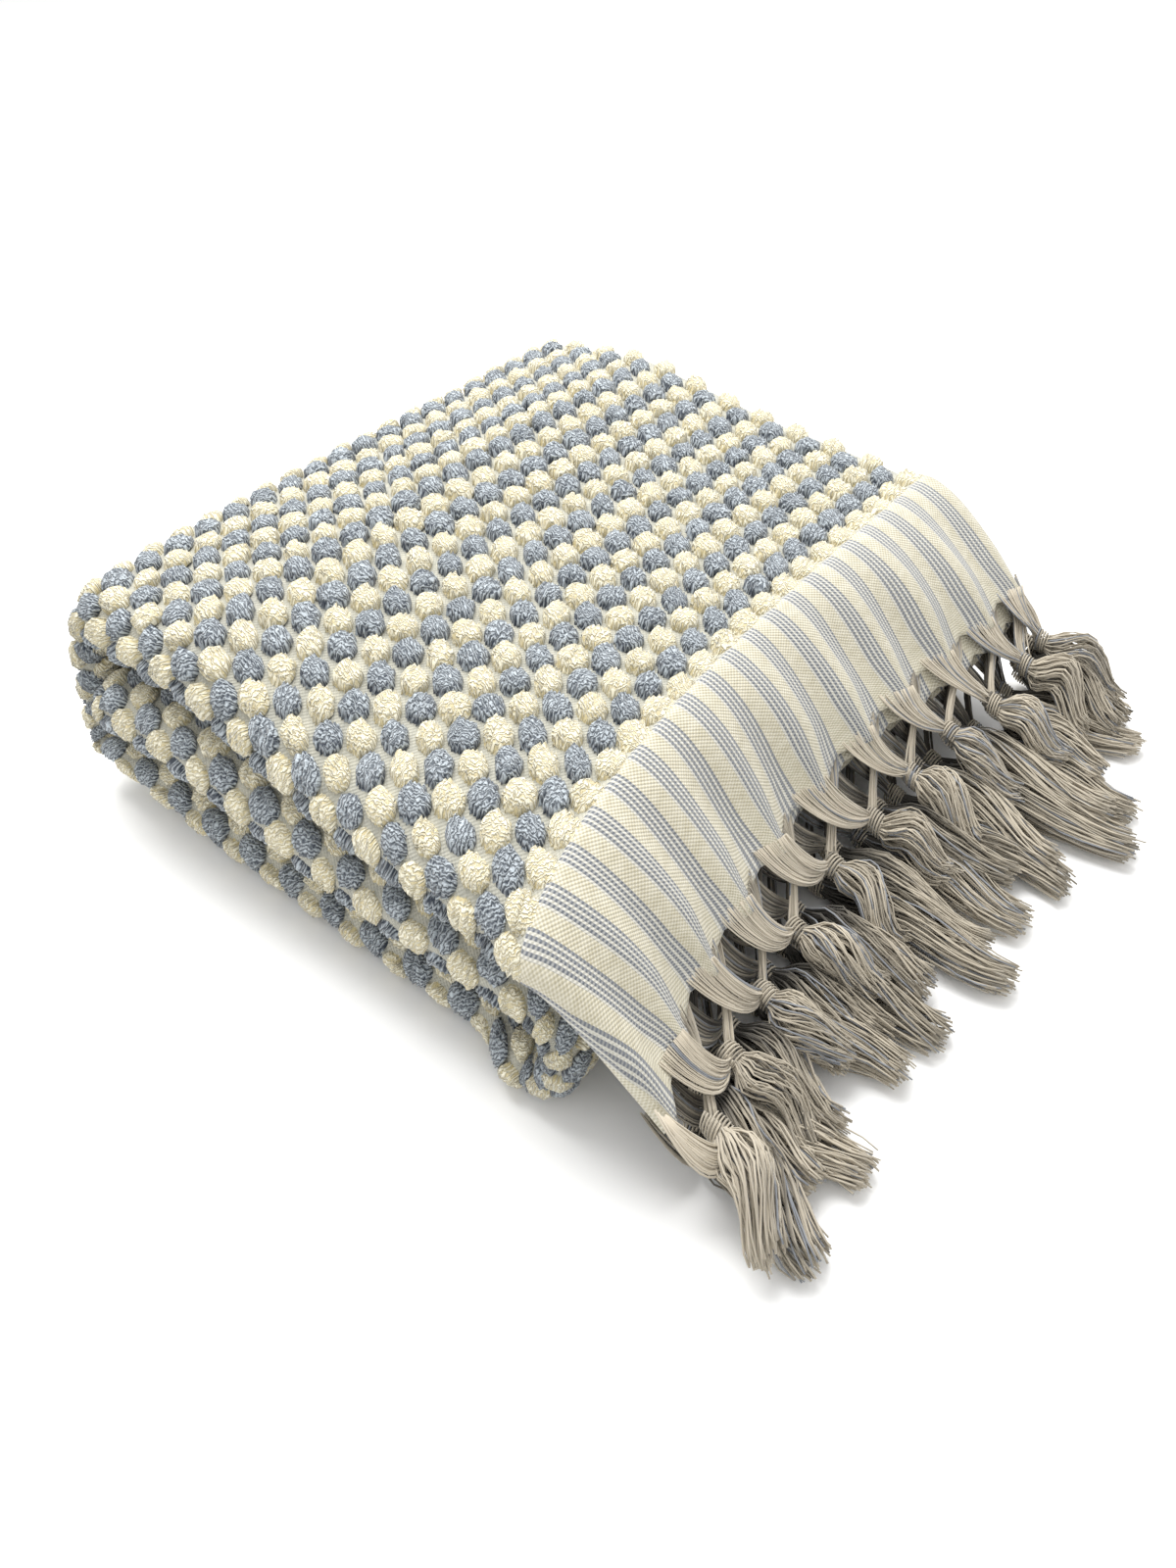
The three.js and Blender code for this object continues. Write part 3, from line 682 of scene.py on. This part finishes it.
def make_bobbles(name, odd, sizes, material, keep, random):
    """Bobbles as pillows of loops. A pillow's crown is the root of one less the fourth power of
    the place along the warp, times a like curve across it. Every second line along the warp sinks
    in between two loops, and each loop has a height and a sideways place of its own."""
    row, column = bobble_places(odd)
    chosen = keep(row, column)
    row, column = row[chosen], column[chosen]
    lines = 2 * LOOPS + 1
    count = len(row)
    s = np.linspace(-1, 1, lines)[None, :, None] + random.uniform(-0.025, 0.025, (count, lines, 1))
    s = s.clip(-1, 1)
    t = np.array([-1.0, -0.78, -0.28, 0.28, 0.78, 1.0])[None, None, :]
    is_loop = (np.arange(lines) % 2 == 1)[None, :, None]

    def spread(low, high, *shape):
        return random.uniform(low, high, (count, *(shape or (1, 1))))

    big = spread(0.92, 1.06) * np.where(row == 0, 1.08, 1.0)[:, None, None]
    turn = spread(-0.3, 0.3)
    slant = spread(-0.2, 1.0)
    arch = spread(-0.2, 0.2) * (1 - t**2)
    crown = (1 - np.abs(s) ** 4) ** 0.5 * (1 - np.abs(t) ** 4) ** 0.5
    groove = np.where(is_loop, 0.0, sizes.ridge / MM / 5 * spread(-0.1, 1.1, lines, 6)) * (np.abs(s) < 0.99)
    height = spread(0.88, 1.02) + np.where(is_loop, spread(-0.09, 0.07, lines, 1), 0)
    lift = (crown * (height - groove + spread(-0.09, 0.09, lines, 6))).clip(0, 1.1)
    outline = 1 + np.where(is_loop, spread(-0.04, 0.16, lines, 1), spread(-0.1, 0.02, lines, 1))
    loose = np.where(is_loop, spread(-0.06, 0.06, lines, 1), 0)
    warp = sizes.bobble_warp / MM / ROW * big * (s * (1 - 0.2 * t**4)
                                                     + (0.2 * slant * t + arch) * (1 - s**4))
    weft = sizes.bobble_weft / MM / PITCH * big * (t * outline * (1 - 0.85 * np.abs(s) ** 3).clip(0) ** 0.5
                                                       + loose + 0.12 * slant * s)
    r = row[:, None, None] + warp * np.cos(turn) - weft * np.sin(turn) * PITCH / ROW
    v = column[:, None, None] + weft * np.cos(turn) + warp * np.sin(turn) * ROW / PITCH
    v = np.clip(v, TUCKED_SELVEDGE + 0.1, SELVEDGE - 0.05)
    share = mix(ground_share(sizes) - 0.05, 1.0, lift)
    points = LATTICE.point(r, v, share)
    points[..., 2] = np.maximum(points[..., 2], 0.2)
    size = lines * t.shape[2]
    faces = (grid_faces(lines, t.shape[2])[None] + (np.arange(count) * size)[:, None, None]).reshape(-1, 4)
    way = spread(-0.7, 0.7)
    u, w = warp * ROW, weft * PITCH
    along = u * np.cos(way) - w * np.sin(way) + spread(0, 900)
    across = u * np.sin(way) + w * np.cos(way) + spread(0, 900)
    uv = np.stack([along, across], -1).reshape(-1, 2)
    # The lift attribute is painted shade: darker towards the bobble's foot and in the grooves between its
    # loops, with a little random tone
    tone = lift * np.where(is_loop, 1.0, 0.6) * spread(0.85, 1.0)
    piece = mesh_object(name, points.reshape(-1, 3), faces, [("lift", tone.ravel())], uv)
    piece.data.materials.append(material)
    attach(piece, "root")
    return piece


def edge_point(depth, level, ahead, lift=0.0):
    """A point past the visible cloth edge: at a depth behind the foremost line and a level of the
    pass, then ahead along the drape and lifted square to it. All are arrays of millimetres."""
    y = FRONT["end"] * PITCH + depth
    outer, inner = top_pass(EDGE_X + 0 * y, y)
    across = outer - inner
    across = across / np.linalg.norm(across, axis=-1, keepdims=True)
    flat = mix(inner, outer, ((level + 1) / 2))
    x = END_ROW_X + flat[..., 0] + bow(flat[..., 0], y) + ahead * across[..., 1] + lift * across[..., 0]
    z = flat[..., 1] - ahead * across[..., 0] + lift * across[..., 1]
    return np.stack([x, FRONT_Y + y, np.maximum(z, 0.6)], -1)


def bezier(controls, steps):
    """Cubic Bezier curves through arrays of four control points, at even parameters."""
    t = np.linspace(0, 1, steps)[None, :, None]
    a, b, c, d = [control[:, None] for control in controls]
    return (1 - t) ** 3 * a + 3 * (1 - t) ** 2 * t * b + 3 * (1 - t) * t**2 * c + t**3 * d


def knots_of(layer):
    """Centres of a fringe layer's knots, their depths behind the foremost line and their order."""
    index = np.arange(layer["knots"])
    depth = np.minimum(KNOTS[index] + layer["shift"], 20.3) * PITCH
    root = edge_point(depth, layer["share"], STRIP_ROOT)
    ahead = layer["knot_x"] * PITCH - 2.2 * np.sin(2.1 * index) - 10 * smooth((depth / PITCH - 5) / 14)
    ahead = ahead - 4 * (index == 0)
    past = edge_point(depth, layer["share"], STRIP_ROOT + ahead)
    z = np.maximum(KNOT_RADIUS, past[:, 2] - layer["lower"])
    return np.stack([past[:, 0], root[:, 1], z], -1), depth, ahead


HANK_YARNS = 26


def make_hanks(layer, random):
    """Two hanks of yarn from the cloth's edge into each knot. The near half of the scallop in
    front of it swings outwards and back along the edge as a flat crescent of nested arcs. The far
    half of the scallop behind it falls forward into the knot as a narrow column, under the next
    crescent. The foremost crescent hangs farther out, and the last columns spread at the corner."""
    knots, depth, ahead = knots_of(layer)
    order = np.arange(len(depth))
    below = 0.45 * layer["lower"]
    u = np.linspace(0, 1, HANK_YARNS)[None, :]
    shape = (len(depth), HANK_YARNS)
    reach = np.minimum(ahead[:, None] + STRIP_ROOT, 26)

    def place(at, ahead, lift):
        at, ahead, lift = np.broadcast_arrays(at, ahead, lift)
        ahead = ahead - 10 * edge_return(at / PITCH)
        points = edge_point(at.ravel(), layer["share"], ahead.ravel(), lift.ravel())
        points[:, 1] += np.minimum(at.ravel(), 0)
        return points

    def scallop(phase):
        return (np.interp(phase, np.arange(len(NOTCHES)), NOTCHES) + layer["shift"]) * PITCH

    def rooted(at, setback, lift):
        wave = 3 * border_wave(FIRST_ROW, at / PITCH)
        return place(at, -5 - 5 * setback**2, random.uniform(-0.5, 0.3, shape) + lift + wave)

    def spread(low, high):
        return random.uniform(low, high, (len(depth), 1))

    def ends(fan, back):
        into = np.repeat(knots, HANK_YARNS, 0) + random.normal(0, 0.6, (len(knots) * HANK_YARNS, 3))
        offset = np.stack([0 * u + back, fan * (u - 0.5), 0 * u + 1.5], -1)
        return into + offset.repeat(len(knots), 0).reshape(-1, 3)

    # The crescent: u runs from its outermost yarn, at the notch, to its innermost
    notch, middle = scallop(order)[:, None], scallop(order + 0.5)[:, None]
    start = np.clip(mix(notch, middle, u) - EDGE_PULL * PITCH * np.sin(np.pi * (u - 1)), 0.5, WIDTH - 0.5)
    span = depth[:, None] - notch
    full = spread(-1.5, 3.0) + 8 * (order == 0)[:, None]
    crescents = bezier([
        rooted(start, 1 - u, 1.5 * (order > 0)[:, None]),
        place(notch + mix(0.12, 0.6, u) * span, mix(9.0, 8.0, u) + full,
              random.uniform(2.0, 3.5, shape) - below),
        place(notch + mix(0.54, 0.8, u) * span, mix(reach * 0.98, reach * 0.76, u) + full,
              random.uniform(2.5, 4.0, shape) - below),
        ends(4.0, -3.0),
    ], 12)
    # The column: u runs from the middle of the scallop behind to the notch behind it
    middle, behind = scallop(order + 1.5)[:, None], scallop(order + 2.0)[:, None]
    start = mix(middle, behind, u) - EDGE_PULL * PITCH * np.sin(np.pi * u)
    start = np.minimum(start, WIDTH - 0.5 - 16 * (1 - u))
    bulge = spread(-1.0, 2.5)
    corner = 10 * (order > 8)[:, None]
    columns = bezier([
        rooted(start, u, 0.0),
        place(mix(start, np.minimum(middle + 4, WIDTH), 0.7) + bulge, 5.0 + 0 * u,
              random.uniform(-1.5, 0.3, shape) - below),
        place(depth[:, None] + mix(8.0 - corner, 13.0, u) + bulge, 0.55 * reach + 0 * u,
              random.uniform(-2.5, -0.5, shape) - below),
        ends(4.0, -2.0),
    ], 11)
    return [path + np.cumsum(random.normal(0, 0.04, path.shape), 1) for path in (columns, crescents)]


def make_tassels(layer, random):
    """Tassels of yarn from the knots. A tassel's middle falls by a smooth step to its bed and runs
    on along it in a slow wave. Its yarns keep their places in an ellipse round that line, which
    widens past the knot and turns as it goes, and each ends at a length of its own."""
    knots, depth, _ = knots_of(layer)
    per, steps = layer["yarns"], 11
    count = len(knots)
    index = np.arange(count)
    k = np.linspace(0, 1, steps)[None, None, :]
    shape = (count, per, 1)

    def each(low, high):
        return random.uniform(low, high, (count, 1, 1))

    extra = layer["extra"] * LONGEST_EXTRA * np.exp(-(((depth - LONGEST_Y) / LONGEST_SPREAD) ** 2))
    extra = extra + layer["corner"] * (index == 10)
    end = END_ROW_X + layer["end"] * PITCH + extra + 5 * np.sin(1.7 * index + 1)
    end = np.maximum(end + random.uniform(-4, 3, count), knots[:, 0] + SHORTEST)[:, None, None]
    radius = random.uniform(0.05, 1, shape) ** 0.35
    end = end - 3.5 * radius**4 + random.uniform(-1.8, 1.4, shape)
    knot = knots[:, None, None, :]
    x = mix(knot[..., 0], end, k)
    lean = (4.5 * np.sin(2.6 * index + layer["end"]) - 45 * np.exp(-depth / (1.2 * PITCH)))[:, None, None]
    wave = each(1.6, 3.4) * np.sin(2 * np.pi * (each(0.7, 1.1) * k + each(0, 1))) * smooth(k * 2)
    turn = random.uniform(0, 2 * np.pi, shape) + each(-2.6, 2.6) * k
    wide = 2.6 + layer["wide"] * each(5.4, 7.4) * smooth(k * 3.4) * (1 - 0.38 * smooth(k * 2 - 1))
    high = 2.4 + each(4.6, 6.6) * smooth(k * 4) - 3.6 * smooth(k * 2 - 1)
    fall = smooth(k * (end - knot[..., 0]) / FLOOR_REACH)
    lie = (layer["lie"] * (1 + 0.9 * smooth((depth / PITCH - 13) / 6)))[:, None, None]
    bed = lie * (1 - 0.6 * smooth(k * 1.8 - 0.8)) + high + 0.6
    crimp = random.uniform(0.2, 0.9, shape)
    crimp = crimp * np.sin(2 * np.pi * random.uniform(1.5, 3, shape) * k + 9 * radius)
    y = knot[..., 1] + lean * k + wave + radius * wide * np.cos(turn) + crimp * smooth(k * 3)
    z = mix(knot[..., 2], bed, fall) + radius * high * np.sin(turn) + each(0, 1.2) * np.sin(7 * k) * fall
    stray = np.cumsum(random.normal(0, 0.22, (count, per, steps, 3)), 2)
    return (np.stack([x, y + 0 * z, z], -1) + stray).reshape(-1, steps, 3)


def make_wraps(layer, random):
    """The turns of yarn round a knot: a few parallel yarns that go round it one and a quarter
    times on a slant, on a barrel that is fullest in the middle."""
    knots, _, _ = knots_of(layer)
    yarns, steps = 7, 18
    offset = np.linspace(-1, 1, yarns)[None, :, None]
    turn = np.linspace(0, 2.5 * np.pi, steps)[None, None, :]
    start = random.uniform(0, 2 * np.pi, (len(knots), 1, 1))
    slant = random.choice([-1, 1], (len(knots), 1, 1)) * random.uniform(1.2, 2.0, (len(knots), 1, 1))
    along = 3.4 * offset + slant * (turn / 1.25 / np.pi - 1)
    radius = 4.6 - 0.05 * along**2 - 0.25 * (turn / 2.5 / np.pi)
    x = knots[:, 0, None, None] + along + 0 * turn
    y = knots[:, 1, None, None] + radius * np.cos(turn + start)
    z = knots[:, 2, None, None] + radius * np.sin(turn + start) - 0.45 * along
    return np.stack([x, y, z], -1).reshape(-1, steps, 3)


def fringe_piece(name, groups, sizes, random, material, light=(0.6,), root=1.0):
    """One piece of many yarns in groups. Each yarn has a tone of its own about its group's, which
    varies about the light given for it; the last light serves the groups that remain. A low light
    paints shade on a group that lies under others. A yarn starts at the root share of its tone and
    reaches all of it near its end, by a smooth step, which paints shade at the roots."""
    paths = np.concatenate(groups)
    radius = sizes.yarn / MM * random.uniform(0.85, 1.2, (len(paths), 1)) * np.ones(paths.shape[:2])
    points, faces = tubes(paths, radius)
    points[:, 2] = np.maximum(points[:, 2], 0.05)
    lights = [*light, *[light[-1]] * len(groups)]
    tone = np.concatenate([np.full(len(group), lights[k] + random.uniform(-0.16, 0.16))
                           for k, group in enumerate(groups)])
    # Painted shade: each yarn starts at the root share of its tone and brightens to its full tone near its
    # end
    along = mix(root, 1, smooth(1.3 * np.linspace(0, 1, paths.shape[1])))
    tone = np.clip((tone + random.normal(0, 0.12, len(paths)))[:, None] * along, 0.12, 1)
    tone = np.where(random.uniform(0, 1, (len(paths), 1)) < 0.08, 0.0, tone)
    piece = mesh_object(name, points, faces[:, ::-1], [("tone", np.repeat(tone.ravel(), SIDES))])
    piece.data.materials.append(material)
    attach(piece, "root")
    return piece


class TOWEL_OT_cloth(bpy.types.Operator):
    """Make the ground weave with its borders, and the bobbles on it"""

    bl_idname = "towel.cloth"
    bl_label = "Cloth and bobbles"

    def execute(self, context):
        sizes, colours = context.scene.towel_sizes, context.scene.towel_colours
        random = np.random.default_rng(sizes.seed)
        ground, flat = make_ground(sizes, colours)
        cream = looped_cotton("Cream looped cotton", list(colours.cream), list(colours.cream_shade))
        slate = looped_cotton("Slate looped cotton", list(colours.slate), list(colours.slate_shade))
        split = row_of(left_wrap)

        def upper(row, column):
            return (row < split) & (column > SEEN_COLUMNS[0][0])

        def rest(row, column):
            return ~upper(row, column)

        pieces = [
            make_bobbles("bobbles_cream_top", 0, sizes, cream, upper, random),
            make_bobbles("bobbles_cream_rest", 0, sizes, cream, rest, random),
            make_bobbles("bobbles_slate_top", 1, sizes, slate, upper, random),
            make_bobbles("bobbles_slate_rest", 1, sizes, slate, rest, random),
        ]
        return {"FINISHED"}


class TOWEL_OT_fringe(bpy.types.Operator):
    """Make the visible end's hanks, knots and tassels"""

    bl_idname = "towel.fringe"
    bl_label = "Visible fringe"

    def execute(self, context):
        sizes, colours = context.scene.towel_sizes, context.scene.towel_colours
        random = np.random.default_rng(sizes.seed + 1)
        material = loose_cotton(colours)
        straight, crescents = zip(*[make_hanks(layer, random) for layer in FRINGE_LAYERS])
        upper, *lower = [make_tassels(layer, random) for layer in FRINGE_LAYERS]

        def by_knot(paths, layer):
            return np.split(paths, len(knots_of(layer)[0]))

        pieces = [
            # The lower layers' hanks get low lights, and the straight hanks a dark root: painted shade
            # under the upper layer
            fringe_piece("fringe_hanks_straight", straight, sizes, random, material,
                         light=(0.6, 0.25, 0.15), root=0.4),
            fringe_piece("fringe_hanks_crescent", crescents, sizes, random, material,
                         light=(0.66, 0.25, 0.15)),
            fringe_piece("fringe_knots", [make_wraps(layer, random) for layer in FRINGE_LAYERS],
                         sizes, random, material),
            fringe_piece("fringe_tassels_upper", by_knot(upper, FRINGE_LAYERS[0]), sizes, random, material),
            # The lower tassels get a lower light and a dark root share: painted shade under the upper
            # tassels
            fringe_piece("fringe_tassels_lower", by_knot(lower[0], FRINGE_LAYERS[1])
                         + by_knot(lower[1], FRINGE_LAYERS[2]),
                         sizes, random, material,
                         light=(*[0.52] * FRINGE_LAYERS[1]["knots"], 0.5), root=0.1),
        ]
        for piece in pieces:
            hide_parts("fringe_outer")
        return {"FINISHED"}


class TOWEL_OT_hidden_fringe(bpy.types.Operator):
    """Make the tucked end's yarns"""

    bl_idname = "towel.hidden_fringe"
    bl_label = "Hidden fringe"

    def execute(self, context):
        sizes, colours = context.scene.towel_sizes, context.scene.towel_colours
        random = np.random.default_rng(sizes.seed + 2)
        material = loose_cotton(colours)
        paths = []
        for layer in FRINGE_LAYERS:
            bunch = np.arange(HIDDEN_BUNCHES)
            depth = np.repeat((layer["shift"] + 1.3 + 2 * bunch) * PITCH, HIDDEN_YARNS)
            side = np.tile(np.linspace(-1, 1, HIDDEN_YARNS), HIDDEN_BUNCHES)
            k = np.linspace(0, 1, 8)[None, :]
            width = np.interp(k, [0, 0.35, 0.45, 0.75, 1], [5.5, 2.5, 3, 5, 4.5])
            y = FRONT["tucked"] * PITCH + depth[:, None] + side[:, None] * width
            x = HIDDEN_EDGE_X + 1 + k * HIDDEN_FRINGE + 0 * y
            outer, inner = tucked_pass(x, y)
            level = layer["share"] * 0.8 + random.uniform(-0.08, 0.08, (len(y), 1))
            flat = mix(inner, outer, ((level + 1) / 2)[..., None])
            paths.append(np.stack([END_ROW_X + flat[..., 0] + bow(x, y), FRONT_Y + y, flat[..., 1]], -1))
        piece = fringe_piece("fringe_hidden", paths, sizes, random, material)
        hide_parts("fringe_inner")
        return {"FINISHED"}


# The photograph's view: camera place from the front corner of the lattice, and its axes
CAMERA_PLACE = (173.8, -152.6, 335.1)
CAMERA_RIGHT = (0.78776, 0.61598, -0.00234)
CAMERA_DOWN = (0.42091, -0.54105, -0.72808)
CAMERA_LOOK = (-0.44975, 0.57257, -0.68549)
FRAME_WIDTH, FOCAL_PIXELS = 1200, 1176.9


class TOWEL_OT_stage(bpy.types.Operator):
    """Make the floor, the soft light and the camera"""

    bl_idname = "towel.stage"
    bl_label = "Stage"

    def execute(self, context):
        scene = context.scene
        size = 6000.0
        corners = np.array([[-1, -1, 0], [1, -1, 0], [1, 1, 0], [-1, 1, 0]]) * size
        floor = mesh_object("floor", corners - [0, 0, 0.1], np.array([[0, 1, 2, 3]]))
        paper = ShaderTree("White paper sweep")
        surface = paper.node("ShaderNodeBsdfPrincipled", {
            "Base Color": linear("#F7F7F6"), "Roughness": 0.9})
        paper.node("ShaderNodeOutputMaterial", {0: surface.outputs[0]})
        floor.data.materials.append(paper.material)
        world = bpy.data.worlds.new("Soft white room")
        world.use_nodes = True
        world.node_tree.nodes["Background"].inputs["Color"].default_value = (1, 1, 1, 1)
        world.node_tree.nodes["Background"].inputs["Strength"].default_value = 0.92
        scene.world = world
        light = bpy.data.lights.new("Soft box", "AREA")
        light.shape, light.size, light.energy = "DISK", 1.2, 29.0
        lamp = bpy.data.objects.new("Soft box", light)
        place = Vector((-0.6, 0.35, 1.15))
        lamp.matrix_world = Matrix.Translation(place) @ place.to_track_quat("Z", "Y").to_matrix().to_4x4()
        scene.collection.objects.link(lamp)
        camera = bpy.data.cameras.new("Photograph")
        camera.sensor_fit = "HORIZONTAL"
        camera.lens = camera.sensor_width * FOCAL_PIXELS / FRAME_WIDTH
        camera.clip_start, camera.clip_end = 0.01, 50
        viewer = bpy.data.objects.new("Photograph", camera)
        axes = np.array([CAMERA_RIGHT, np.negative(CAMERA_DOWN), np.negative(CAMERA_LOOK)]).T
        place = np.array(CAMERA_PLACE) + [END_ROW_X, FRONT_Y, 0]
        matrix = np.eye(4)
        matrix[:3, :3], matrix[:3, 3] = axes, place * MM
        viewer.matrix_world = Matrix(matrix.tolist())
        scene.collection.objects.link(viewer)
        scene.camera = viewer
        scene.view_settings.view_transform = "Standard"
        return {"FINISHED"}


class TOWEL_PT_panel(bpy.types.Panel):
    """Sizes, colours and pieces of the towel"""

    bl_idname = "TOWEL_PT_panel"
    bl_label = "Folded towel"
    bl_space_type = "VIEW_3D"
    bl_region_type = "UI"
    bl_category = "Towel"

    def draw(self, context):
        for group in (context.scene.towel_sizes, context.scene.towel_colours):
            for key in group.__annotations__:
                self.layout.prop(group, key)
        for operator in OPERATORS:
            self.layout.operator(operator.bl_idname)


GROUPS = (TowelSizes, TowelColours)
OPERATORS = (TOWEL_OT_cloth, TOWEL_OT_fringe, TOWEL_OT_hidden_fringe, TOWEL_OT_stage)


def register():
    for item in (*GROUPS, *OPERATORS, TOWEL_PT_panel):
        bpy.utils.register_class(item)
    bpy.types.Scene.towel_sizes = bpy.props.PointerProperty(type=TowelSizes)
    bpy.types.Scene.towel_colours = bpy.props.PointerProperty(type=TowelColours)


def unregister():
    del bpy.types.Scene.towel_colours
    del bpy.types.Scene.towel_sizes
    for item in reversed((*GROUPS, *OPERATORS, TOWEL_PT_panel)):
        bpy.utils.unregister_class(item)


def main():
    """Makes every piece."""
    register()
    bpy.ops.towel.cloth()
    bpy.ops.towel.fringe()
    bpy.ops.towel.hidden_fringe()
    bpy.ops.towel.stage()


if __name__ == "__main__":
    main()
